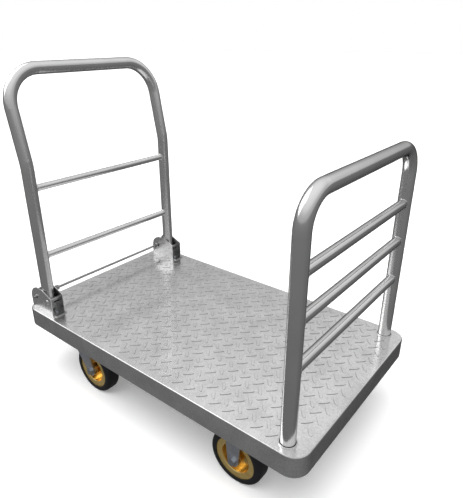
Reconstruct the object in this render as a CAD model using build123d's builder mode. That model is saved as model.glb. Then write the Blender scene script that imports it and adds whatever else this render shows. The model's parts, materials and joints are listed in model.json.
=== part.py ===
from build123d import *
import math
import os

# Folding platform cart: a pressed tread-plate deck on two rigid and two swivel casters, with a push
# handle that folds down onto the deck and a front handle that lifts out of its sockets.
# Millimetres. The origin is on the floor under the deck's centre, +X towards the lift-out handle,
# +Y to the cart's left, +Z up.

# --- deck and underframe ---
deck_length = 1000.0
deck_width = 590.0
deck_corner_radius = 42.0
deck_edge_radius = 3.5
plate_thickness = 2.5
skirt_depth = 55.0
channel_depth = 38.5
channel_width = 130.0
channel_wall = 3.0
rib_width = 40.0
rib_wall = 2.5
rib_offset = 100.0

# --- casters ---
caster_inset_x = 202.0
caster_inset_y = 67.0
wheel_radius = 76.0
wheel_width = 44.0
wheel_headroom = 18.0
tyre_thickness = 18.0
tyre_shoulder = 11.0
rim_flange_width = 15.0
rim_flange_inset = 2.5
rim_sheet = 2.5
rim_web_half = 2.5
rim_lip_radius = 2.0
hub_radius = 17.0
bush_radius = 14.0
axle_radius = 6.0
fork_sheet = 4.0
fork_side_gap = 3.0
fork_end_radius = 16.0
fork_leg_width = 45.0
caster_plate_length = 115.0
caster_plate_width = 95.0
caster_plate_thickness = 4.0
caster_hole_pitch_x = 90.0
caster_hole_pitch_y = 72.0
caster_bolt_radius = 5.0
swivel_trail = 46.0
race_radius = 26.0
race_width = 10.0
race_gap = 4.0
race_lower_height = 4.0
race_upper_height = 6.0
ball_radius = 4.0
ball_count = 16
kingpin_radius = 6.0
swivel_bridge_length = 68.0

# --- tubes ---
tube_diameter = 35.0
tube_wall = 2.0
plug_depth = 12.0

# --- front handle ---
front_post_inset_x = 53.0
front_post_inset_y = 36.0
front_height = 545.0
front_bend_radius = 70.0
front_rung_diameter = 25.0
front_rung_heights = (183.0, 294.0, 396.0)
socket_wall = 3.0
socket_depth = 47.0
socket_collar = 3.0

# --- push handle ---
push_post_inset_x = 79.0
push_post_inset_y = 37.0
push_kink_height = 453.0
push_height = 700.0
push_lean = 0.193
push_kink_radius = 120.0
push_bend_radius = 100.0
push_tail_height = 10.0
push_rung_diameter = 19.0
rung_wall = 1.5
push_rung_heights = (179.0, 387.0)

# --- hinge bracket, pivot and latch ---
bracket_side_gap = 1.0
bracket_sheet = 3.0
bracket_behind_bar = 25.0
bracket_ahead_of_pivot = 20.5
bracket_rear_height = 35.0
bracket_height = 75.0
bracket_front_height = 57.0
bracket_tongue = 14.0
bracket_lobe_radius = 40.0
spring_tab_height = 52.0
bracket_bolt_radius = 4.0
bracket_bolt_inset = 17.0
stop_lip_height = 28.0
sleeve_cope = 1.5
pivot_height = 41.0
pivot_pin_radius = 4.0
pivot_head_radius = 7.0
pivot_head_thickness = 1.8
pivot_sleeve_radius = 6.5
latch_thickness = 8.0
latch_half_angle = 34.0
bar_behind_tube = 19.5
bar_radius = 4.0
bar_grip_travel = 5.0
bar_release_travel = 6.0
bar_overhang = 7.0
near_collar_inset = 53.0
far_collar_gap = 3.0
collar_radius = 8.0
collar_width = 8.0
clip_thickness = 1.5
spring_radius = 4.0
spring_wire = 1.0
spring_turns = 5.0
spring_offset = 12.5

# --- clearances ---
running = 0.05
latch_clearance = 0.4
notch_floor_gap = 0.8
seat_clearance = 0.2
side_clearance = 0.4
cope_clearance = 0.1
socket_clearance = 0.5

# --- places worked out from the sizes above ---
bridge_under = 2 * wheel_radius + wheel_headroom
bridge_top = bridge_under + fork_sheet
race_top = bridge_top + race_lower_height
ball_z = race_top + race_gap / 2
race_under = race_top + race_gap
plate_bottom = race_under + race_upper_height
caster_height = plate_bottom + caster_plate_thickness
caster_offset_x = deck_length / 2 - caster_inset_x
caster_offset_y = deck_width / 2 - caster_inset_y
fork_half_gap = wheel_width / 2 + fork_side_gap
fork_half_width = fork_half_gap + fork_sheet
rim_radius = wheel_radius - tyre_thickness
rim_well_radius = rim_radius - rim_flange_width
deck_top = caster_height + channel_depth + plate_thickness
deck_under = deck_top - plate_thickness
skirt_bottom = deck_top - skirt_depth
tube_radius = tube_diameter / 2
front_post_x = deck_length / 2 - front_post_inset_x
front_post_y = deck_width / 2 - front_post_inset_y
push_post_x = push_post_inset_x - deck_length / 2
push_post_y = deck_width / 2 - push_post_inset_y
front_foot = deck_top - socket_depth + seat_clearance
front_bar_z = deck_top + front_height
push_foot = deck_top + push_tail_height
push_kink_z = deck_top + push_kink_height
push_bar_z = deck_top + push_height
push_bar_x = push_post_x - push_lean * (push_height - push_kink_height)
pivot_x = push_post_x + tube_radius + pivot_sleeve_radius - sleeve_cope
pivot_z = deck_top + pivot_height
bar_x = push_post_x - tube_radius - bar_behind_tube
bar_reach = pivot_x - bar_x
bracket_gap = tube_diameter + 2 * bracket_side_gap
bracket_back_x = bar_x - bracket_behind_bar
bracket_nose_x = pivot_x + bracket_ahead_of_pivot
stop_x = push_post_x + tube_radius + cope_clearance
bracket_bolt_xs = (
    bracket_back_x + bracket_bolt_inset,
    (stop_x + bracket_sheet + bracket_nose_x) / 2,
)
latch_rim = bar_reach - bar_radius - latch_clearance
sides = (("left", 1), ("right", -1))
ends = (("front", 1), ("rear", -1))

os.makedirs("parts", exist_ok=True)


def save(part, name):
    """Labels a finished piece and writes it under that name."""
    part.label = name
    export_step(part, f"parts/{name}.step")


def bent_tube(points, radii):
    """A round tube swept along straight runs joined by tangent bends."""
    with BuildPart() as tube:
        with BuildLine() as path:
            FilletPolyline(*points, radius=radii)
        with BuildSketch(Plane(origin=points[0], z_dir=Vector(*points[1]) - Vector(*points[0]))):
            Circle(tube_radius)
            Circle(tube_radius - tube_wall, mode=Mode.SUBTRACT)
        sweep(path=path.wires()[0])
    return tube


def rung(x, z, post_y, radius):
    """A round bar from post to post, coped to fit against both."""
    with BuildPart() as bar:
        with Locations((x, 0, z)):
            Cylinder(radius, 2 * post_y, rotation=(90, 0, 0))
            Cylinder(radius - rung_wall, 2 * post_y, rotation=(90, 0, 0), mode=Mode.SUBTRACT)
        with Locations((x, post_y, z), (x, -post_y, z)):
            Cylinder(tube_radius + cope_clearance, 4 * radius, mode=Mode.SUBTRACT)
    return bar


def hex_bolt(head_face, direction, radius, length, nut_at=None):
    """A hex bolt whose head bears on head_face, with its nut bearing at nut_at along the shank."""
    seat = Plane(origin=head_face, z_dir=direction)
    with BuildPart() as bolt:
        with BuildSketch(seat):
            Circle(radius)
        extrude(amount=length)
        with BuildSketch(seat):
            RegularPolygon(1.6 * radius, 6, major_radius=False)
        extrude(amount=-1.2 * radius)
        if nut_at is not None:
            with BuildSketch(seat.offset(nut_at)):
                RegularPolygon(1.6 * radius, 6, major_radius=False)
                Circle(radius + running, mode=Mode.SUBTRACT)
            extrude(amount=1.6 * radius)
    return bolt


def wheel_plane(x, y):
    """A plane through a wheel's centre: local x is its radius and local y runs along its axle."""
    return Plane(origin=(x, y, wheel_radius), x_dir=(1, 0, 0), z_dir=(0, 0, 1))


# --- deck ---
with BuildPart() as deck_plate:
    with BuildSketch(Plane.XY.offset(skirt_bottom)):
        RectangleRounded(deck_length, deck_width, deck_corner_radius)
    extrude(amount=skirt_depth)
    fillet(deck_plate.faces().sort_by(Axis.Z)[-1].edges(), deck_edge_radius)
    offset(amount=-plate_thickness, openings=deck_plate.faces().sort_by(Axis.Z)[0])
    with BuildSketch(Plane.XY.offset(deck_top)):
        with Locations((front_post_x, front_post_y), (front_post_x, -front_post_y)):
            Circle(tube_radius + socket_clearance + socket_wall + cope_clearance)
        for side in (1, -1):
            with Locations([(x, side * push_post_y) for x in bracket_bolt_xs]):
                Circle(bracket_bolt_radius + running)
    extrude(amount=-2 * plate_thickness, mode=Mode.SUBTRACT)
save(deck_plate.part, "deck_plate")

# --- cross beams: open-topped channels that carry the casters ---
beam_length = deck_width - 2 * deck_edge_radius
for end, sign in ends:
    beam_x = sign * caster_offset_x
    with BuildPart() as cross_beam:
        with BuildSketch(Plane.YZ.offset(beam_x)):
            with Locations((0, (caster_height + deck_under) / 2)):
                Rectangle(beam_length, deck_under - caster_height)
        extrude(amount=channel_width / 2, both=True)
        with BuildSketch(Plane.XZ):
            with Locations((beam_x, (caster_height + channel_wall + deck_under) / 2)):
                Rectangle(channel_width - 2 * channel_wall, deck_under - caster_height - channel_wall)
        extrude(amount=beam_length / 2, both=True, mode=Mode.SUBTRACT)
        with BuildSketch(Plane.XY.offset(caster_height)):
            with Locations((beam_x, caster_offset_y), (beam_x, -caster_offset_y)):
                with GridLocations(caster_hole_pitch_x, caster_hole_pitch_y, 2, 2):
                    Circle(caster_bolt_radius + running)
        extrude(amount=channel_wall, mode=Mode.SUBTRACT)
    save(cross_beam.part, f"{end}_cross_beam")

# --- ribs between the beams ---
rib_length = 2 * (caster_offset_x - channel_width / 2 - seat_clearance)
for side, sign in sides:
    with BuildPart() as rib:
        with BuildSketch(Plane.YZ):
            with Locations((sign * rib_offset, (caster_height + deck_under) / 2)):
                Rectangle(rib_width, deck_under - caster_height)
            with Locations((sign * rib_offset, (caster_height + rib_wall + deck_under) / 2)):
                Rectangle(
                    rib_width - 2 * rib_wall, deck_under - caster_height - rib_wall, mode=Mode.SUBTRACT
                )
        extrude(amount=rib_length / 2, both=True)
    save(rib.part, f"center_rib_{side}")

# --- sockets for the front handle ---
for side, sign in sides:
    socket_inner = tube_radius + socket_clearance
    with BuildPart() as socket:
        with BuildSketch(Plane.XY.offset(deck_top - socket_depth - socket_wall)):
            with Locations((front_post_x, sign * front_post_y)):
                Circle(socket_inner + socket_wall)
        extrude(amount=socket_depth + socket_wall + socket_collar)
        with BuildSketch(Plane.XY.offset(deck_top - socket_depth)):
            with Locations((front_post_x, sign * front_post_y)):
                Circle(socket_inner)
        extrude(amount=socket_depth + socket_collar, mode=Mode.SUBTRACT)
        chamfer(socket.faces().sort_by(Axis.Z)[-1].edges(), socket_wall / 4)
    save(socket.part, f"front_socket_{side}")

# --- front handle ---
with BuildPart() as front_handle_tube:
    add(
        bent_tube(
            [
                (front_post_x, -front_post_y, front_foot),
                (front_post_x, -front_post_y, front_bar_z),
                (front_post_x, front_post_y, front_bar_z),
                (front_post_x, front_post_y, front_foot),
            ],
            [front_bend_radius, front_bend_radius],
        ).part
    )
save(front_handle_tube.part, "front_handle_tube")

for name, height in zip(("low", "mid", "top"), front_rung_heights):
    front_rung = rung(front_post_x, deck_top + height, front_post_y, front_rung_diameter / 2)
    save(front_rung.part, f"front_rung_{name}")

with BuildPart() as front_tube_plugs:
    with BuildSketch(Plane.XY.offset(front_foot + seat_clearance)):
        with Locations((front_post_x, front_post_y), (front_post_x, -front_post_y)):
            Circle(tube_radius - tube_wall - running)
    extrude(amount=plug_depth)
save(front_tube_plugs.part, "front_tube_plugs")

# --- hinge brackets: two cheeks on a base web, with a stop lip and a spring tab ---
slot_front = bar_x + bar_grip_travel + bar_radius + running
slot_back = bar_x - bar_release_travel - bar_radius - running
for side, sign in sides:
    cheek_plane = Plane(
        origin=(0, sign * push_post_y, deck_top), x_dir=(1, 0, 0), z_dir=(0, -1, 0)
    )
    with BuildPart() as hinge_bracket:
        with BuildSketch(cheek_plane):
            with BuildLine():
                lobe_start = (bracket_back_x, bracket_rear_height)
                lobe_end = (bracket_back_x + bracket_lobe_radius, bracket_height)
                Line((bracket_back_x, 0), lobe_start)
                RadiusArc(lobe_start, lobe_end, bracket_lobe_radius)
                Line(lobe_end, (push_post_x, bracket_height))
                Line((push_post_x, bracket_height), (bracket_nose_x, bracket_front_height))
                Line((bracket_nose_x, bracket_front_height), (bracket_nose_x, 0))
                Line((bracket_nose_x, 0), (bracket_back_x, 0))
            make_face()
        extrude(amount=bracket_gap / 2 + bracket_sheet, both=True)
        with BuildSketch(cheek_plane):
            with Locations(((bracket_back_x + bracket_nose_x) / 2, bracket_height / 2 + bracket_sheet)):
                Rectangle(2 * (bracket_nose_x - bracket_back_x), bracket_height)
        extrude(amount=bracket_gap / 2, both=True, mode=Mode.SUBTRACT)
        with BuildSketch(cheek_plane):
            with Locations((bracket_nose_x + bracket_tongue / 2, bracket_sheet / 2)):
                Rectangle(bracket_tongue, bracket_sheet)
            with Locations((stop_x + bracket_sheet / 2, stop_lip_height / 2)):
                Rectangle(bracket_sheet, stop_lip_height)
            with Locations((bracket_back_x + bracket_sheet / 2, spring_tab_height / 2)):
                Rectangle(bracket_sheet, spring_tab_height)
        extrude(amount=bracket_gap / 2, both=True)
        with BuildSketch(cheek_plane):
            with Locations((pivot_x, pivot_height)):
                Circle(pivot_pin_radius + running)
            with Locations(((slot_front + slot_back) / 2, pivot_height)):
                SlotOverall(slot_front - slot_back, 2 * (bar_radius + running))
        extrude(amount=bracket_gap, both=True, mode=Mode.SUBTRACT)
        with BuildSketch(Plane.XY.offset(deck_top)):
            with Locations([(x, sign * push_post_y) for x in bracket_bolt_xs]):
                Circle(bracket_bolt_radius + running)
        extrude(amount=bracket_sheet, mode=Mode.SUBTRACT)
    save(hinge_bracket.part, f"hinge_bracket_{side}")

# --- bolts that hold the brackets to the deck ---
with BuildPart() as bracket_bolts:
    for bolt_x in bracket_bolt_xs:
        for sign in (1, -1):
            add(
                hex_bolt(
                    (bolt_x, sign * push_post_y, deck_top + bracket_sheet),
                    (0, 0, -1),
                    bracket_bolt_radius,
                    bracket_sheet + plate_thickness + 2.2 * bracket_bolt_radius,
                    bracket_sheet + plate_thickness,
                ).part
            )
save(bracket_bolts.part, "bracket_bolts")

# --- pivot pins, with a low round head against each cheek ---
cheek_inner = push_post_y - bracket_gap / 2 - bracket_sheet
cheek_outer = push_post_y + bracket_gap / 2 + bracket_sheet
head_centre = (cheek_outer - cheek_inner + pivot_head_thickness) / 2
for side, sign in sides:
    with BuildPart() as pivot_pin:
        with Locations((pivot_x, sign * push_post_y, pivot_z)):
            Cylinder(pivot_pin_radius, cheek_outer - cheek_inner, rotation=(90, 0, 0))
        with Locations(
            (pivot_x, sign * push_post_y + head_centre, pivot_z),
            (pivot_x, sign * push_post_y - head_centre, pivot_z),
        ):
            Cylinder(pivot_head_radius, pivot_head_thickness, rotation=(90, 0, 0))
        rims = pivot_pin.edges().filter_by(GeomType.CIRCLE).group_by(Axis.Y)
        chamfer(rims[0] + rims[-1], pivot_head_thickness / 3)
    save(pivot_pin.part, f"pivot_pin_{side}")

# --- push handle ---
push_frame = bent_tube(
    [
        (push_post_x, -push_post_y, push_foot),
        (push_post_x, -push_post_y, push_kink_z),
        (push_bar_x, -push_post_y, push_bar_z),
        (push_bar_x, push_post_y, push_bar_z),
        (push_post_x, push_post_y, push_kink_z),
        (push_post_x, push_post_y, push_foot),
    ],
    [push_kink_radius, push_bend_radius, push_bend_radius, push_kink_radius],
)
with BuildPart() as push_handle_tube:
    add(push_frame.part)
    with Locations((pivot_x, push_post_y, pivot_z), (pivot_x, -push_post_y, pivot_z)):
        Cylinder(
            pivot_sleeve_radius + cope_clearance, bracket_gap, rotation=(90, 0, 0), mode=Mode.SUBTRACT
        )
save(push_handle_tube.part, "push_handle_tube")

for name, height in zip(("lower", "upper"), push_rung_heights):
    push_rung = rung(push_post_x, deck_top + height, push_post_y, push_rung_diameter / 2)
    save(push_rung.part, f"push_{name}_rung")

with BuildPart() as push_tube_plugs:
    with BuildSketch(Plane.XY.offset(push_foot)):
        with Locations((push_post_x, push_post_y), (push_post_x, -push_post_y)):
            Circle(tube_radius - tube_wall - running)
    extrude(amount=plug_depth)
save(push_tube_plugs.part, "push_tube_plugs")

for side, sign in sides:
    with BuildPart() as pivot_sleeve:
        with Locations((pivot_x, sign * push_post_y, pivot_z)):
            Cylinder(pivot_sleeve_radius, bracket_gap - 2 * side_clearance, rotation=(90, 0, 0))
            Cylinder(
                pivot_pin_radius + running, bracket_gap, rotation=(90, 0, 0), mode=Mode.SUBTRACT
            )
    save(pivot_sleeve.part, f"pivot_sleeve_{side}")

# --- latch plates: a sector behind each post, with a notch that the release bar drops into ---
for side, sign in sides:
    latch_plane = Plane(origin=(pivot_x, sign * push_post_y, pivot_z), x_dir=(1, 0, 0), z_dir=(0, -1, 0))
    notch_half = bar_radius + latch_clearance
    notch_end = bar_x + bar_grip_travel + bar_radius + notch_floor_gap - pivot_x
    with BuildPart() as latch_plate:
        with BuildSketch(latch_plane):
            with BuildLine():
                arc_start = 180 - latch_half_angle
                CenterArc((0, 0), latch_rim, arc_start, 2 * latch_half_angle)
                rim_x = latch_rim * math.cos(math.radians(arc_start))
                rim_z = latch_rim * math.sin(math.radians(arc_start))
                back_x = push_post_x - pivot_x
                Polyline((rim_x, -rim_z), (back_x, -rim_z), (back_x, rim_z), (rim_x, rim_z))
            make_face()
            with Locations((notch_end - latch_rim / 2, 0)):
                Rectangle(latch_rim, 2 * notch_half, mode=Mode.SUBTRACT)
        extrude(amount=latch_thickness / 2, both=True)
        with Locations((push_post_x, sign * push_post_y, pivot_z)):
            Cylinder(tube_radius + cope_clearance, 2 * latch_rim, mode=Mode.SUBTRACT)
        split(bisect_by=Plane.YZ.offset(push_post_x), keep=Keep.BOTTOM)
    save(latch_plate.part, f"latch_plate_{side}")

# --- release bar, its collars and end clips, and the springs that push it forward ---
bar_half = cheek_outer + bar_overhang
with BuildPart() as release_bar:
    with Locations((bar_x, 0, pivot_z)):
        Cylinder(bar_radius, 2 * bar_half, rotation=(90, 0, 0))
    chamfer(release_bar.edges().filter_by(GeomType.CIRCLE), bar_radius / 4)
save(release_bar.part, "release_bar")

near_collar_y = near_collar_inset - push_post_y
far_collar_y = cheek_inner - far_collar_gap - collar_width / 2
with BuildPart() as bar_collars:
    with Locations((bar_x, near_collar_y, pivot_z), (bar_x, far_collar_y, pivot_z)):
        Cylinder(collar_radius, collar_width, rotation=(90, 0, 0))
        Cylinder(bar_radius + running, collar_width, rotation=(90, 0, 0), mode=Mode.SUBTRACT)
save(bar_collars.part, "bar_collars")

clip_y = cheek_outer + side_clearance + clip_thickness / 2
with BuildPart() as bar_clips:
    with Locations((bar_x, clip_y, pivot_z), (bar_x, -clip_y, pivot_z)):
        Cylinder(collar_radius - clip_thickness, clip_thickness, rotation=(90, 0, 0))
        Cylinder(bar_radius + running, clip_thickness, rotation=(90, 0, 0), mode=Mode.SUBTRACT)
save(bar_clips.part, "bar_clips")

spring_length = bar_x - bar_radius - bracket_back_x - bracket_sheet - 2 * seat_clearance - spring_wire
for side, sign in sides:
    spring_start = bracket_back_x + bracket_sheet + seat_clearance + spring_wire / 2
    spring_y = sign * (push_post_y - spring_offset)
    with BuildPart() as bar_spring:
        with BuildLine() as coil:
            Helix(
                pitch=spring_length / spring_turns,
                height=spring_length,
                radius=spring_radius,
                center=(spring_start, spring_y, pivot_z),
                direction=(1, 0, 0),
            )
        with BuildSketch(Plane(origin=coil.line @ 0, z_dir=coil.line % 0)):
            Circle(spring_wire / 2)
        sweep(path=coil.wires()[0], is_frenet=True)
    save(bar_spring.part, f"bar_spring_{side}")

# --- casters: fasteners shared by all four ---
caster_centres = [(sx * caster_offset_x, sy * caster_offset_y) for _, sx in ends for _, sy in sides]
bolt_head = 1.2 * caster_bolt_radius
with BuildPart() as caster_bolts:
    with BuildSketch(Plane.XY.offset(plate_bottom)):
        with Locations(caster_centres):
            with GridLocations(caster_hole_pitch_x, caster_hole_pitch_y, 2, 2):
                Circle(caster_bolt_radius)
    extrude(amount=caster_plate_thickness + channel_wall + 2.2 * caster_bolt_radius)
    with BuildSketch(Plane.XY.offset(plate_bottom)):
        with Locations(caster_centres):
            with GridLocations(caster_hole_pitch_x, caster_hole_pitch_y, 2, 2):
                RegularPolygon(1.6 * caster_bolt_radius, 6, major_radius=False)
    extrude(amount=-bolt_head)
save(caster_bolts.part, "caster_bolts")

with BuildPart() as caster_nuts:
    with BuildSketch(Plane.XY.offset(caster_height + channel_wall)):
        with Locations(caster_centres):
            with GridLocations(caster_hole_pitch_x, caster_hole_pitch_y, 2, 2):
                RegularPolygon(1.6 * caster_bolt_radius, 6, major_radius=False)
                Circle(caster_bolt_radius + running, mode=Mode.SUBTRACT)
    extrude(amount=1.6 * caster_bolt_radius)
save(caster_nuts.part, "caster_nuts")


def caster_plate(x, y):
    """The flat top plate of a caster with its four bolt holes."""
    with BuildPart() as plate:
        with BuildSketch(Plane.XY.offset(plate_bottom)):
            with Locations((x, y)):
                RectangleRounded(caster_plate_length, caster_plate_width, 2 * caster_plate_thickness)
                with GridLocations(caster_hole_pitch_x, caster_hole_pitch_y, 2, 2):
                    Circle(caster_bolt_radius + running, mode=Mode.SUBTRACT)
        extrude(amount=caster_plate_thickness)
    return plate


def fork_legs(side_outline, y):
    """Two sheet legs, one each side of the wheel, with the axle hole through both."""
    with BuildPart() as legs:
        for sign in (1, -1):
            face_plane = Plane(
                origin=(0, y + sign * (fork_half_gap + fork_sheet / 2), 0),
                x_dir=(1, 0, 0),
                z_dir=(0, -1, 0),
            )
            with BuildSketch(face_plane):
                add(side_outline)
            extrude(amount=fork_sheet / 2, both=True)
    return legs


def leg_outline(axle_x, top_front, top_rear, shoulder_z, top_z):
    """The leg's side view: parallel or slanting edges running tangent into a round end at the axle."""
    with BuildSketch(Plane.XY) as outline:
        with BuildSketch(mode=Mode.ADD):
            with Locations((axle_x, wheel_radius)):
                Circle(fork_end_radius)
            with Locations(((top_front + top_rear) / 2, shoulder_z)):
                Rectangle(top_front - top_rear, fork_sheet)
        make_hull()
        with Locations(((top_front + top_rear) / 2, (shoulder_z + top_z) / 2)):
            Rectangle(top_front - top_rear, top_z - shoulder_z)
        with Locations((axle_x, wheel_radius)):
            Circle(axle_radius + running, mode=Mode.SUBTRACT)
    return outline.sketch


# --- rigid front forks ---
for side, sign in sides:
    outline = leg_outline(
        caster_offset_x,
        caster_offset_x + fork_leg_width / 2,
        caster_offset_x - fork_leg_width / 2,
        (wheel_radius + plate_bottom) / 2 + fork_leg_width / 4,
        plate_bottom + fork_sheet / 2,
    )
    with BuildPart() as fixed_fork:
        add(caster_plate(caster_offset_x, sign * caster_offset_y).part)
        add(fork_legs(outline, sign * caster_offset_y).part)
    save(fixed_fork.part, f"fixed_fork_{side}")

# --- rear swivel casters ---
swivel_x = -caster_offset_x
rear_axle_x = swivel_x + swivel_trail
for side, sign in sides:
    swivel_y = sign * caster_offset_y
    profile_plane = Plane(origin=(swivel_x, swivel_y, 0), x_dir=(1, 0, 0), z_dir=(0, -1, 0))
    kingpin_axis = Axis((swivel_x, swivel_y, 0), (0, 0, 1))
    with BuildPart() as swivel_plate:
        add(caster_plate(swivel_x, swivel_y).part)
        with BuildSketch(profile_plane):
            with Locations((race_radius, (plate_bottom + race_under) / 2)):
                Rectangle(race_width, plate_bottom - race_under)
            with Locations((race_radius, ball_z)):
                Circle(ball_radius + running, mode=Mode.SUBTRACT)
        revolve(axis=kingpin_axis)
        with Locations((swivel_x, swivel_y, plate_bottom)):
            Cylinder(kingpin_radius + running, 4 * caster_plate_thickness, mode=Mode.SUBTRACT)
    save(swivel_plate.part, f"swivel_plate_{side}")

    with BuildPart() as swivel_balls:
        with Locations((swivel_x, swivel_y, ball_z)):
            with PolarLocations(race_radius, ball_count):
                Sphere(ball_radius)
    save(swivel_balls.part, f"swivel_balls_{side}")

    with BuildPart() as kingpin:
        with BuildSketch(Plane.XY.offset(bridge_under - seat_clearance)):
            with Locations((swivel_x, swivel_y)):
                Circle(kingpin_radius)
        extrude(amount=caster_height - seat_clearance - bridge_under)
        with BuildSketch(Plane.XY.offset(bridge_under - seat_clearance)):
            with Locations((swivel_x, swivel_y)):
                RegularPolygon(1.6 * kingpin_radius, 6, major_radius=False)
        extrude(amount=-kingpin_radius)
    save(kingpin.part, f"kingpin_{side}")

    outline = leg_outline(
        rear_axle_x,
        swivel_x + swivel_bridge_length / 2,
        swivel_x - swivel_bridge_length / 2,
        bridge_under - fork_sheet,
        bridge_top,
    )
    with BuildPart() as swivel_fork:
        add(fork_legs(outline, swivel_y).part)
        with BuildSketch(Plane.XY.offset(bridge_under)):
            with Locations((swivel_x, swivel_y)):
                Rectangle(swivel_bridge_length, 2 * fork_half_width)
        extrude(amount=fork_sheet)
        with BuildSketch(profile_plane):
            with Locations((race_radius, (bridge_top + race_top) / 2)):
                Rectangle(race_width, race_top - bridge_top)
            with Locations((race_radius, ball_z)):
                Circle(ball_radius + running, mode=Mode.SUBTRACT)
        revolve(axis=kingpin_axis)
        with Locations((swivel_x, swivel_y, bridge_under)):
            Cylinder(kingpin_radius + running, 4 * fork_sheet, mode=Mode.SUBTRACT)
    save(swivel_fork.part, f"swivel_fork_{side}")

# --- wheels and axles ---
for end, axle_x in (("front", caster_offset_x), ("rear", rear_axle_x)):
    for side, sign in sides:
        axle_y = sign * caster_offset_y
        section = wheel_plane(axle_x, axle_y)
        spin_axis = Axis((axle_x, axle_y, wheel_radius), (0, 1, 0))
        axle = hex_bolt(
            (axle_x, axle_y + sign * fork_half_width, wheel_radius),
            (0, -sign, 0),
            axle_radius,
            2 * fork_half_width + 2 * axle_radius,
            2 * fork_half_width,
        )
        save(axle.part, f"{end}_axle_{side}")

        with BuildPart() as tyre:
            with BuildSketch(section) as tyre_section:
                with Locations(((rim_radius + wheel_radius) / 2, 0)):
                    Rectangle(wheel_radius - rim_radius, wheel_width)
                fillet(tyre_section.vertices().group_by(Axis.X)[-1], tyre_shoulder)
            revolve(axis=spin_axis)
        save(tyre.part, f"tyre_{end}_{side}")

        half = wheel_width / 2 - rim_flange_inset
        with BuildPart() as rim:
            with BuildSketch(section) as rim_section:
                with BuildLine():
                    Polyline(
                        (hub_radius, wheel_width / 2),
                        (hub_radius, rim_web_half),
                        (rim_well_radius - rim_sheet, rim_web_half),
                        (rim_well_radius - rim_sheet, half),
                        (rim_radius - cope_clearance, half),
                        (rim_radius - cope_clearance, half - rim_sheet),
                        (rim_well_radius, half - rim_sheet),
                        (rim_well_radius, rim_sheet - half),
                        (rim_radius - cope_clearance, rim_sheet - half),
                        (rim_radius - cope_clearance, -half),
                        (rim_well_radius - rim_sheet, -half),
                        (rim_well_radius - rim_sheet, -rim_web_half),
                        (hub_radius, -rim_web_half),
                        (hub_radius, -wheel_width / 2),
                        (bush_radius + running, -wheel_width / 2),
                        (bush_radius + running, wheel_width / 2),
                        close=True,
                    )
                make_face()
                lips = rim_section.vertices().filter_by_position(
                    Axis.X, rim_well_radius - 2 * rim_sheet, rim_well_radius - rim_sheet / 2
                )
                fillet(lips.filter_by(lambda corner: abs(corner.Y) > half / 2), rim_lip_radius)
            revolve(axis=spin_axis)
        save(rim.part, f"rim_{end}_{side}")

        with BuildPart() as hub_bush:
            with Locations((axle_x, axle_y, wheel_radius)):
                Cylinder(bush_radius, 2 * (fork_half_gap - side_clearance), rotation=(90, 0, 0))
                Cylinder(
                    axle_radius + running, 2 * fork_half_gap, rotation=(90, 0, 0), mode=Mode.SUBTRACT
                )
        save(hub_bush.part, f"hub_bush_{end}_{side}")
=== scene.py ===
import json
import math
import random

import bmesh
import bpy
from mathutils import Matrix, Vector


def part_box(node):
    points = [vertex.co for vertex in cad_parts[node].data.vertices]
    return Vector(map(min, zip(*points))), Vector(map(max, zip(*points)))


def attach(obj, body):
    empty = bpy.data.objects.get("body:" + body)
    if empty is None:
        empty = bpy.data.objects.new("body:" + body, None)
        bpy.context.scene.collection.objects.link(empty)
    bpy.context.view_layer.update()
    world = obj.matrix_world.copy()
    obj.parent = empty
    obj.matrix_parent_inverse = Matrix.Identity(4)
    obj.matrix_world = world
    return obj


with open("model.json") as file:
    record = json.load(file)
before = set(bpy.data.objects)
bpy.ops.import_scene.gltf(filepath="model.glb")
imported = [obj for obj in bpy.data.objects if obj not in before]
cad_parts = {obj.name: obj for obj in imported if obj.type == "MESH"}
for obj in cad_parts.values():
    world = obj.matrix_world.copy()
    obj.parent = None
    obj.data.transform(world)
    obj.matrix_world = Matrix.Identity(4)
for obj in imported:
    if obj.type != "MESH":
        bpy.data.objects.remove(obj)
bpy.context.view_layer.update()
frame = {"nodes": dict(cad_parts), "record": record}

SIDES = ("left", "right")

# ---------------------------------------------------------------- places read from the frame
deck_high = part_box("deck_plate")[1]
DECK_TOP = deck_high.z
DECK_HALF_X = deck_high.x
DECK_HALF_Y = deck_high.y


def centre_of(node):
    """The middle of a CAD node's box."""
    low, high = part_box(node)
    return (low + high) / 2


def radius_of(node, axis="x"):
    """Half of a CAD node's size along one axis."""
    low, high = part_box(node)
    return (getattr(high, axis) - getattr(low, axis)) / 2


# ---------------------------------------------------------------- materials
BRACKET_SHEET = 0.0025
# Where the painted shadow line round each front post is full and where it has faded out, measured from the
# post's side.
SOCKET_SHADOW_FULL = 0.0010
SOCKET_SHADOW_NONE = 0.0016
RIM_DISH_SHARE = 0.55
RIM_FLANGE_SHARE = 0.75

SOCKET_NODES = ("front_socket_left", "front_socket_right")
# Pieces in a darker zinc; on the pivot sleeves between the bracket cheeks the darker colour is painted
# shade.
DARK_AND_SHADED_NODES = ("release_bar", "bar_collars", "pivot_sleeve_left", "pivot_sleeve_right")
PIN_NODES = ("pivot_pin_left", "pivot_pin_right")


def grey(level):
    """A colour with the same level in each channel."""
    return (level, level, level)


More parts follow.
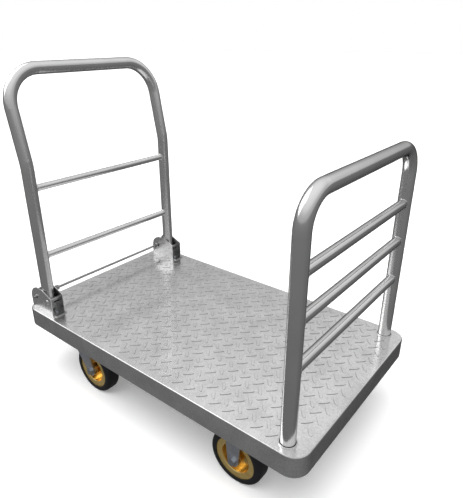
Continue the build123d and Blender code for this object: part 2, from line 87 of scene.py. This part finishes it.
class Shader:
    """A new material with its Principled shader, and short ways to add procedural nodes to it."""

    def __init__(self, name, metallic, roughness, edge_tint=1.0):
        self.material = bpy.data.materials.new(name)
        self.material.use_nodes = True
        self.nodes = self.material.node_tree.nodes
        self.links = self.material.node_tree.links
        self.bsdf = self.nodes["Principled BSDF"]
        self.bsdf.inputs["Metallic"].default_value = metallic
        self.bsdf.inputs["Roughness"].default_value = roughness
        self.bsdf.inputs["Specular Tint"].default_value = (edge_tint, edge_tint, edge_tint, 1)
        self.coords = self.nodes.new("ShaderNodeTexCoord")

    def noise(self, size, detail=3.0):
        """Noise whose features are about size metres across."""
        texture = self.nodes.new("ShaderNodeTexNoise")
        texture.inputs["Scale"].default_value = 1 / size
        texture.inputs["Detail"].default_value = detail
        self.links.new(self.coords.outputs["Object"], texture.inputs["Vector"])
        return texture.outputs["Fac"]

    def ramp(self, fac, stops):
        """A colour ramp with (position, colour) stops."""
        ramp = self.nodes.new("ShaderNodeValToRGB")
        elements = ramp.color_ramp.elements
        while len(elements) < len(stops):
            elements.new(0.5)
        for element, (position, colour) in zip(elements, stops):
            element.position = position
            element.color = (*colour, 1)
        self.links.new(fac, ramp.inputs["Fac"])
        return ramp.outputs["Color"]

    def spread(self, fac, low, high):
        """Maps a 0 to 1 value onto low to high."""
        remap = self.nodes.new("ShaderNodeMapRange")
        remap.inputs["To Min"].default_value = low
        remap.inputs["To Max"].default_value = high
        self.links.new(fac, remap.inputs["Value"])
        return remap.outputs["Result"]

    def feed(self, socket, value):
        """Gives an input socket another socket's output, or a plain number."""
        if isinstance(value, bpy.types.NodeSocket):
            self.links.new(value, socket)
        else:
            socket.default_value = value

    def mix(self, fac, first, second, blend="MIX"):
        """Mixes two colour sockets by a socket or a number."""
        mix = self.nodes.new("ShaderNodeMix")
        mix.data_type = "RGBA"
        mix.blend_type = blend
        self.feed(mix.inputs["Factor"], fac)
        self.feed(mix.inputs["A"], first)
        self.feed(mix.inputs["B"], second)
        return mix.outputs["Result"]

    def calc(self, operation, first, second=0.0):
        """A Math node on sockets or numbers."""
        math_node = self.nodes.new("ShaderNodeMath")
        math_node.operation = operation
        self.feed(math_node.inputs[0], first)
        self.feed(math_node.inputs[1], second)
        return math_node.outputs["Value"]

    def off_centre(self, axis, middle):
        """Distance along X or Y from a place that is mirrored to the other side of the cart."""
        split = self.nodes.new("ShaderNodeSeparateXYZ")
        self.links.new(self.coords.outputs["Object"], split.inputs["Vector"])
        outward = self.calc("ABSOLUTE", split.outputs[axis])
        return self.calc("ABSOLUTE", self.calc("SUBTRACT", outward, middle))

    def step(self, value, low, high):
        """Goes from 0 to 1 as a value goes from low to high, where high may be the smaller of the two."""
        remap = self.nodes.new("ShaderNodeMapRange")
        remap.inputs["From Min"].default_value = low
        remap.inputs["From Max"].default_value = high
        self.links.new(value, remap.inputs["Value"])
        return remap.outputs["Result"]

    def facing_up(self, low, high):
        """Rises from 0 to 1 as the surface turns from vertical to level."""
        normal = self.nodes.new("ShaderNodeSeparateXYZ")
        geometry = self.nodes.new("ShaderNodeNewGeometry")
        self.links.new(geometry.outputs["Normal"], normal.inputs["Vector"])
        return self.step(normal.outputs["Z"], low, high)

    def bump(self, fac, height):
        """Bumps the surface by a height in metres."""
        bump = self.nodes.new("ShaderNodeBump")
        bump.inputs["Strength"].default_value = 1.0
        bump.inputs["Distance"].default_value = height
        self.links.new(fac, bump.inputs["Height"])
        self.links.new(bump.outputs["Normal"], self.bsdf.inputs["Normal"])

    def set(self, name, socket):
        """Feeds a socket into one of the shader's inputs."""
        self.links.new(socket, self.bsdf.inputs[name])


def deck_material():
    """Bright satin plate with uneven tone and gloss, painted shade on its rounded edges and a little on
    its skirt, and a fine rolled grain.
    """
    shader = Shader("tread_plate", metallic=0.95, roughness=0.33, edge_tint=0.35)
    mottle = shader.calc("ADD", shader.noise(0.05, 4), shader.noise(0.005, 3))
    tone = shader.ramp(shader.calc("MULTIPLY", mottle, 0.5), [(0.38, grey(0.81)), (0.62, grey(1))])
    # Painted shade by facing: the rounded edges are darkened to damp their highlight, and the skirt is a
    # little darker than the top.
    skirt, edge_painted_shade, top = (0.92, 0.92, 0.925), grey(0.5), grey(0.97)
    level = shader.ramp(
        shader.facing_up(0.0, 1.0),
        [(0.05, skirt), (0.4, edge_painted_shade), (0.85, edge_painted_shade), (0.97, top)],
    )
    shader.set("Base Color", shader.mix(1.0, level, tone, "MULTIPLY"))
    shader.set("Roughness", shader.spread(shader.noise(0.012), 0.15, 0.27))
    shader.bump(shader.noise(0.003, 5), 0.00006)
    return shader.material


def steel_material(name, colour, metallic, roughness, mottle_size=0.02, contrast=0.1, edge_tint=1.0):
    """Plain metal with slight mottling, uneven gloss and a fine grain."""
    shader = Shader(name, metallic, roughness, edge_tint)
    dark = tuple((1 - contrast) * c for c in colour)
    light = tuple(min(1.0, (1 + contrast) * c) for c in colour)
    shader.set("Base Color", shader.ramp(shader.noise(mottle_size, 4), [(0.3, dark), (0.7, light)]))
    shader.set("Roughness", shader.spread(shader.noise(0.008), roughness * 0.85, roughness * 1.15))
    shader.bump(shader.noise(0.0025, 4), 0.000008)
    return shader.material


def socket_material():
    """The socket's collar: plate-coloured, with a dark line of painted shadow round the post for the shade
    in the gap at its foot.
    """
    shader = Shader("socket_steel", metallic=0.95, roughness=0.35)
    middle = centre_of("front_socket_left")
    along = shader.off_centre("X", middle.x)
    across = shader.off_centre("Y", middle.y)
    distance = shader.calc(
        "SQRT",
        shader.calc("ADD", shader.calc("MULTIPLY", along, along), shader.calc("MULTIPLY", across, across)),
    )
    post = radius_of("front_handle_tube")
    # Painted shadow: a dark line round the post's foot stands in for the shade in the gap there.
    gap_shadow_mask = shader.step(distance, post + SOCKET_SHADOW_NONE, post + SOCKET_SHADOW_FULL)
    mottle = shader.noise(0.006, 4)
    plate = shader.ramp(mottle, [(0.3, grey(0.76)), (0.7, grey(0.88))])
    gap_shadow = shader.ramp(mottle, [(0.3, grey(0.03)), (0.7, grey(0.08))])
    shader.set("Base Color", shader.mix(gap_shadow_mask, plate, gap_shadow))
    shader.bump(shader.noise(0.002, 4), 0.00001)
    return shader.material


def bracket_material():
    """Bright sheet outside; between the two cheeks the sheet is darkened with painted shade."""
    shader = Shader("bracket_zinc", metallic=1.0, roughness=0.3)
    low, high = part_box("hinge_bracket_left")
    outside = shader.calc(
        "GREATER_THAN", shader.off_centre("Y", (low.y + high.y) / 2), (high.y - low.y) / 2 - BRACKET_SHEET
    )
    mottle = shader.noise(0.012, 4)
    bright = shader.ramp(mottle, [(0.3, grey(0.80)), (0.7, grey(0.88))])
    between_cheeks_shade = shader.ramp(mottle, [(0.3, grey(0.42)), (0.7, grey(0.54))])
    # Painted shade: the faces between the cheeks get the darker colour to stand in for the shade that
    # falls there.
    shader.set("Base Color", shader.mix(outside, between_cheeks_shade, bright))
    shader.set("Roughness", shader.spread(shader.noise(0.006), 0.22, 0.36))
    shader.bump(shader.noise(0.002, 4), 0.00001)
    return shader.material


def rim_material():
    """Yellow zinc: pale on the rolled flanges, deep orange gold in the dish."""
    shader = Shader("rim_yellow_zinc", metallic=1.0, roughness=0.24)
    low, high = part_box("rim_front_left")
    middle = (low.y + high.y) / 2
    half = high.y - middle
    flange = shader.step(shader.off_centre("Y", middle), RIM_DISH_SHARE * half, RIM_FLANGE_SHARE * half)
    mottle = shader.noise(0.014, 4)
    deep = shader.ramp(mottle, [(0.3, (0.74, 0.47, 0.12)), (0.7, (0.95, 0.68, 0.26))])
    pale = shader.ramp(mottle, [(0.3, (0.88, 0.60, 0.20)), (0.7, (1.0, 0.76, 0.30))])
    shader.set("Base Color", shader.mix(flange, deep, pale))
    shader.set("Metallic", shader.spread(flange, 1.0, 0.7))
    shader.set("Roughness", shader.spread(shader.noise(0.006), 0.14, 0.26))
    shader.bump(shader.noise(0.002, 4), 0.00001)
    return shader.material


def rubber_material():
    """Black solid rubber with a fine moulded grain and a dusty bloom."""
    shader = Shader("tyre_rubber", metallic=0.0, roughness=0.5)
    shader.set(
        "Base Color",
        shader.ramp(shader.noise(0.012, 5), [(0.35, (0.008, 0.009, 0.011)), (0.75, (0.02, 0.021, 0.024))]),
    )
    shader.set("Roughness", shader.spread(shader.noise(0.006), 0.38, 0.6))
    shader.bump(shader.noise(0.0018, 5), 0.00008)
    return shader.material


def plastic_material():
    """Moulded black plastic."""
    shader = Shader("black_plastic", metallic=0.0, roughness=0.45)
    shader.set(
        "Base Color",
        shader.ramp(shader.noise(0.01), [(0.3, (0.02, 0.02, 0.022)), (0.7, (0.035, 0.035, 0.038))]),
    )
    shader.bump(shader.noise(0.001, 2), 0.00005)
    return shader.material


MATERIALS = {
    "deck_steel": deck_material(),
    "frame_steel": steel_material("frame_steel", (0.30, 0.30, 0.31), 0.6, 0.45),
    "tube_steel": steel_material(
        "tube_steel", grey(0.88), 1.0, 0.19, mottle_size=0.06, contrast=0.03, edge_tint=0.35
    ),
    "bright_zinc": bracket_material(),
    "caster_zinc": steel_material("caster_zinc", (0.66, 0.68, 0.73), 0.95, 0.34, mottle_size=0.012),
    "bolt_zinc": steel_material("bolt_zinc", (0.55, 0.58, 0.62), 1.0, 0.3, mottle_size=0.006),
    "spring_steel": steel_material("spring_steel", (0.5, 0.5, 0.52), 1.0, 0.25),
    "plug_black": plastic_material(),
    "tyre_rubber": rubber_material(),
    "rim_yellow_zinc": rim_material(),
    "bush_steel": steel_material("bush_steel", (0.42, 0.42, 0.44), 1.0, 0.35),
}

# Every CAD node wears its slot's material, and a few small pieces then get one of their own.
for entry in frame["record"]["subparts"]:
    mesh = frame["nodes"][entry["node"]].data
    mesh.materials.clear()
    mesh.materials.append(MATERIALS[entry["material_slot"]])
# The darker zinc on the release bar, its collars and the pivot sleeves is partly painted shade, for the
# sleeves sit between the bracket cheeks.
for nodes, material in (
    (SOCKET_NODES, socket_material()),
    (DARK_AND_SHADED_NODES, steel_material("dark_zinc_and_shade", grey(0.42), 1.0, 0.3, mottle_size=0.008)),
    (PIN_NODES, steel_material("pin_zinc", grey(0.82), 1.0, 0.3, mottle_size=0.008)),
):
    for node in nodes:
        frame["nodes"][node].data.materials[0] = material


# ---------------------------------------------------------------- added pieces
def finish_piece(bm, name, body, slot):
    """Turns a bmesh into a smooth-shaded piece that rides on a body."""
    bmesh.ops.recalc_face_normals(bm, faces=bm.faces)
    mesh = bpy.data.meshes.new(name)
    bm.to_mesh(mesh)
    bm.free()
    for polygon in mesh.polygons:
        polygon.use_smooth = True
    piece = bpy.data.objects.new(name, mesh)
    bpy.context.scene.collection.objects.link(piece)
    piece.data.materials.append(MATERIALS[slot])
    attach(piece, body)
    return piece


LUG_PITCH = 0.040
LUG_PHASE = Vector((0.00875, 0.01625))
LUG_ANGLES = (math.radians(45), math.radians(-52))
LUG_LENGTH = 0.030
LUG_WIDTH = 0.0088
LUG_HEIGHT = 0.0014
LUG_SUNK_SHARE = 0.1
LUG_DRAFT = 0.84
LUG_SQUARENESS = 0.75
LUG_POINTS = 20
# Lug sides that reach less than this toward the tips, as the cosine round the outline, get the painted
# shade.
LUG_SHADE_LIMIT = 0.78
LUG_MARGIN = 0.016
DECK_CORNER = 0.042


def lug_ring(bm, x, y, turn, scale, height):
    """One closed ring of a lug's outline, a long rounded lozenge."""
    ring = []
    for step in range(LUG_POINTS):
        t = 2 * math.pi * (step + 0.5) / LUG_POINTS
        along = math.copysign(abs(math.cos(t)) ** LUG_SQUARENESS, math.cos(t))
        across = math.copysign(abs(math.sin(t)) ** LUG_SQUARENESS, math.sin(t))
        place = turn @ Vector((LUG_LENGTH / 2 * along, LUG_WIDTH / 2 * across * scale))
        ring.append(bm.verts.new((x + place.x, y + place.y, DECK_TOP + height)))
    return ring


def add_lug(bm, x, y, angle):
    """One raised lug: a flat top on nearly upright sides, with painted shade along its long sides and none
    at its tips.
    """
    turn = Matrix.Rotation(angle, 2)
    foot = lug_ring(bm, x, y, turn, 1.0, -LUG_SUNK_SHARE * LUG_HEIGHT)
    rim = lug_ring(bm, x, y, turn, LUG_DRAFT, LUG_HEIGHT)
    for step in range(LUG_POINTS):
        after = (step + 1) % LUG_POINTS
        side = bm.faces.new((foot[step], foot[after], rim[after], rim[step]))
        toward_tip = abs(math.cos(2 * math.pi * (step + 1) / LUG_POINTS))
        # The long sides get the darker lug-side material, painted shade standing in for the dark edges
        # that light gives them.
        side.material_index = 1 if toward_tip < LUG_SHADE_LIMIT else 0
    bm.faces.new(lug_ring(bm, x, y, turn, LUG_DRAFT, LUG_HEIGHT))


def lug_fits(x, y):
    """True where a lug lies on the open deck, clear of the rounded corners, posts and brackets."""
    reach = LUG_LENGTH / 2
    if abs(x) > DECK_HALF_X - LUG_MARGIN or abs(y) > DECK_HALF_Y - LUG_MARGIN:
        return False
    over_x = abs(x) - (DECK_HALF_X - DECK_CORNER)
    over_y = abs(y) - (DECK_HALF_Y - DECK_CORNER)
    if over_x > 0 and over_y > 0 and math.hypot(over_x, over_y) > DECK_CORNER - LUG_MARGIN:
        return False
    for side in SIDES:
        socket = centre_of(f"front_socket_{side}")
        if math.hypot(x - socket.x, y - socket.y) < radius_of(f"front_socket_{side}") + reach:
            return False
        low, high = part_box(f"hinge_bracket_{side}")
        if low.x - reach < x < high.x + reach and low.y - reach < y < high.y + reach:
            return False
    return True


def tread_lugs():
    """Lugs slanted to the deck's edges, alternating in direction on a square pitch."""
    bm = bmesh.new()
    columns = int(DECK_HALF_X / LUG_PITCH) + 2
    rows = int(DECK_HALF_Y / LUG_PITCH) + 2
    for column in range(-columns, columns):
        for row in range(-rows, rows):
            for shift, angle in zip((0.0, 0.5), LUG_ANGLES):
                x = LUG_PHASE.x + (column + shift) * LUG_PITCH
                y = LUG_PHASE.y + (row + shift) * LUG_PITCH
                if lug_fits(x, y):
                    add_lug(bm, x, y, angle)
    piece = finish_piece(bm, "tread_lugs", "deck", "deck_steel")
    # The lug sides' darker material is painted shade.
    piece.data.materials.append(steel_material("lug_side_painted_shade", grey(0.56), 0.95, 0.4, mottle_size=0.004))


tread_lugs()

WELD_RADIUS = 0.0019
WELD_RIPPLES = 11
WELD_RIPPLE_SHARE = 0.22
WELD_SCATTER = 0.08
WELD_STEPS = 40
WELD_SIDES = 8


def weld_bead(bm, rung, post_y, tube_radius):
    """A rippled bead where a round rung meets the inner face of a round post."""
    centre = centre_of(rung)
    radius = radius_of(rung, "z")
    inward = -math.copysign(1, post_y)
    loops = []
    for step in range(WELD_STEPS):
        t = 2 * math.pi * step / WELD_STEPS
        ripple = 1 + WELD_RIPPLE_SHARE * math.sin(WELD_RIPPLES * t) + WELD_SCATTER * random.random()
        ax, az = radius * math.cos(t), radius * math.sin(t)
        inset = math.sqrt(tube_radius**2 - ax**2)
        middle = Vector((centre.x + ax, post_y + inward * inset, centre.z + az))
        outward = Vector((math.cos(t), 0, math.sin(t)))
        away = Vector((0, inward, 0))
        loop = []
        for corner in range(WELD_SIDES):
            a = 2 * math.pi * corner / WELD_SIDES
            offset = outward * math.cos(a) + away * math.sin(a)
            loop.append(bm.verts.new(middle + offset * WELD_RADIUS * ripple))
        loops.append(loop)
    for step in range(WELD_STEPS):
        lower, upper = loops[step], loops[(step + 1) % WELD_STEPS]
        for corner in range(WELD_SIDES):
            after = (corner + 1) % WELD_SIDES
            bm.faces.new((lower[corner], lower[after], upper[after], upper[corner]))


def handle_welds(name, body, tube, rungs):
    """The beads at both ends of every rung of one handle."""
    bm = bmesh.new()
    low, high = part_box(tube)
    tube_radius = radius_of("front_handle_tube")  # both handles are bent from the same tube
    for rung in rungs:
        for post_y in (low.y + tube_radius, high.y - tube_radius):
            weld_bead(bm, rung, post_y, tube_radius)
    finish_piece(bm, name, body, "tube_steel")


random.seed(4)
handle_welds(
    "front_welds",
    "front_handle",
    "front_handle_tube",
    ("front_rung_low", "front_rung_mid", "front_rung_top"),
)
handle_welds("push_welds", "push_handle", "push_handle_tube", ("push_lower_rung", "push_upper_rung"))


# ---------------------------------------------------------------- stage, light and camera
FLOOR_SIZE = 60
FLOOR_GLOW = 0.22
DOME_RADIUS = 28


def add_stage():
    """A pale floor that only the camera sees, and a plain white dome behind it."""
    bpy.ops.mesh.primitive_plane_add(size=FLOOR_SIZE, location=(0, 0, 0))
    floor = bpy.context.object
    floor.name = "floor"
    shader = Shader("floor_paint", metallic=0.0, roughness=0.9)
    shader.set("Base Color", shader.ramp(shader.noise(0.6), [(0.3, grey(0.90)), (0.7, grey(0.92))]))
    shader.bsdf.inputs["Emission Color"].default_value = (1, 1, 1, 1)
    shader.bsdf.inputs["Emission Strength"].default_value = FLOOR_GLOW
    floor.data.materials.append(shader.material)
    bpy.ops.mesh.primitive_uv_sphere_add(radius=DOME_RADIUS, segments=48, ring_count=24)
    dome = bpy.context.object
    dome.name = "backdrop"
    white = bpy.data.materials.new("backdrop_white")
    white.use_nodes = True
    nodes = white.node_tree.nodes
    nodes.clear()
    glow = nodes.new("ShaderNodeEmission")
    glow.inputs["Color"].default_value = (1, 1, 1, 1)
    out = nodes.new("ShaderNodeOutputMaterial")
    white.node_tree.links.new(glow.outputs["Emission"], out.inputs["Surface"])
    dome.data.materials.append(white)
    for item in (floor, dome):
        item.visible_diffuse = False
        item.visible_glossy = False
        item.visible_transmission = False
    dome.visible_shadow = False


# Light by height, from straight down at 0 to straight up at 1.
SKY_LEVELS = (
    (0.0, 0.12),
    (0.48, 0.20),
    (0.575, 0.21),
    (0.60, 0.42),
    (0.70, 0.45),
    (0.83, 0.70),
    (1.0, 0.84),
)
BRIGHT_SIDE = (0.10, 0.995, 0.0)
BRIGHT_FADE = (0.74, 0.84)
BRIGHT_HEIGHT = (0.14, 0.20)
BRIGHT_AMOUNT = 0.42
DIM_SIDE = (0.62, 0.78, 0.0)
DIM_FADE = (0.35, 0.75)
DIM_HEIGHT = (0.05, 0.15)
DIM_AMOUNT = 0.12


def add_sky():
    """Light from all round: bright overhead, grey at the sides, dark below, uneven toward two sides."""
    world = bpy.data.worlds.new("studio")
    bpy.context.scene.world = world
    world.use_nodes = True
    nodes, links = world.node_tree.nodes, world.node_tree.links
    direction = nodes.new("ShaderNodeTexCoord").outputs["Generated"]

    def map_range(value, from_low, from_high, to_low, to_high):
        """Maps one range of a value onto another."""
        remap = nodes.new("ShaderNodeMapRange")
        limits = {"From Min": from_low, "From Max": from_high, "To Min": to_low, "To Max": to_high}
        for name, limit in limits.items():
            remap.inputs[name].default_value = limit
        links.new(value, remap.inputs["Value"])
        return remap.outputs["Result"]

    split = nodes.new("ShaderNodeSeparateXYZ")
    links.new(direction, split.inputs["Vector"])
    ramp = nodes.new("ShaderNodeValToRGB")
    elements = ramp.color_ramp.elements
    while len(elements) < len(SKY_LEVELS):
        elements.new(0.5)
    for element, (position, level) in zip(elements, SKY_LEVELS):
        element.position = position
        element.color = (level, level, level, 1)
    links.new(map_range(split.outputs["Z"], -1, 1, 0, 1), ramp.inputs["Fac"])

    def toward(side):
        """How far a direction lies toward a side, as the dot product of the two."""
        dot = nodes.new("ShaderNodeVectorMath")
        dot.operation = "DOT_PRODUCT"
        dot.inputs[1].default_value = side
        links.new(direction, dot.inputs[0])
        return dot.outputs["Value"]

    def combine(operation, first, second):
        """A Math node on two sockets."""
        node = nodes.new("ShaderNodeMath")
        node.operation = operation
        links.new(first, node.inputs[0])
        links.new(second, node.inputs[1])
        return node.outputs["Value"]

    up = split.outputs["Z"]
    brighter = combine(
        "MULTIPLY",
        map_range(toward(BRIGHT_SIDE), *BRIGHT_FADE, 0, BRIGHT_AMOUNT),
        map_range(up, *BRIGHT_HEIGHT, 0, 1),
    )
    dimmer = combine(
        "MULTIPLY",
        map_range(toward(DIM_SIDE), *DIM_FADE, 0, DIM_AMOUNT),
        map_range(up, *DIM_HEIGHT, 1, 0),
    )
    change = combine("SUBTRACT", brighter, dimmer)
    links.new(ramp.outputs["Color"], nodes["Background"].inputs["Color"])
    links.new(map_range(change, -1, 1, 0, 2), nodes["Background"].inputs["Strength"])


PANEL_PLACE = Vector((-1.9, -0.8, 2.6))
PANEL_TARGET = Vector((0, 0, 0.4))
PANEL_SIZE = (2.4, 2.7)
PANEL_POWER = 32


def add_panel():
    """A soft rectangular light beside the cart that shows in its reflections only."""
    data = bpy.data.lights.new("key_panel", "AREA")
    data.shape = "RECTANGLE"
    data.size, data.size_y = PANEL_SIZE
    data.energy = PANEL_POWER
    panel = bpy.data.objects.new("key_panel", data)
    bpy.context.scene.collection.objects.link(panel)
    panel.location = PANEL_PLACE
    panel.rotation_euler = (PANEL_TARGET - PANEL_PLACE).to_track_quat("-Z", "Y").to_euler()
    panel.visible_diffuse = False


SUN_POWER = 2.3
SUN_SPREAD = math.radians(50)
SUN_SIDE = Vector((0.05, -0.3, 1.0))


def add_sun():
    """A broad overhead light that makes the soft shadow on the floor and stays out of reflections."""
    data = bpy.data.lights.new("overhead", "SUN")
    data.energy = SUN_POWER
    data.angle = SUN_SPREAD
    sun = bpy.data.objects.new("overhead", data)
    bpy.context.scene.collection.objects.link(sun)
    sun.rotation_euler = SUN_SIDE.to_track_quat("Z", "Y").to_euler()
    sun.visible_glossy = False


CAMERA_PLACE = (0.8284, -0.9415, 0.7905 + DECK_TOP)
CAMERA_YAW = 0.6646
CAMERA_PITCH = 0.4193
CAMERA_ROLL = 0.0044
CAMERA_LENS = 35.14
CAMERA_SENSOR = 36
CAMERA_REACH = 100


def add_camera():
    """The camera at the viewing angle. Its lens and sensor, in mm, set the field of the long side."""
    data = bpy.data.cameras.new("camera")
    data.sensor_width = CAMERA_SENSOR
    data.lens = CAMERA_LENS
    data.clip_end = CAMERA_REACH
    camera = bpy.data.objects.new("camera", data)
    bpy.context.scene.collection.objects.link(camera)
    camera.matrix_world = (
        Matrix.Translation(CAMERA_PLACE)
        @ Matrix.Rotation(CAMERA_YAW, 4, "Z")
        @ Matrix.Rotation(math.pi / 2 - CAMERA_PITCH, 4, "X")
        @ Matrix.Rotation(CAMERA_ROLL, 4, "Z")
    )
    bpy.context.scene.camera = camera


add_stage()
add_sky()
add_panel()
add_sun()
add_camera()
bpy.context.scene.view_settings.view_transform = "Standard"
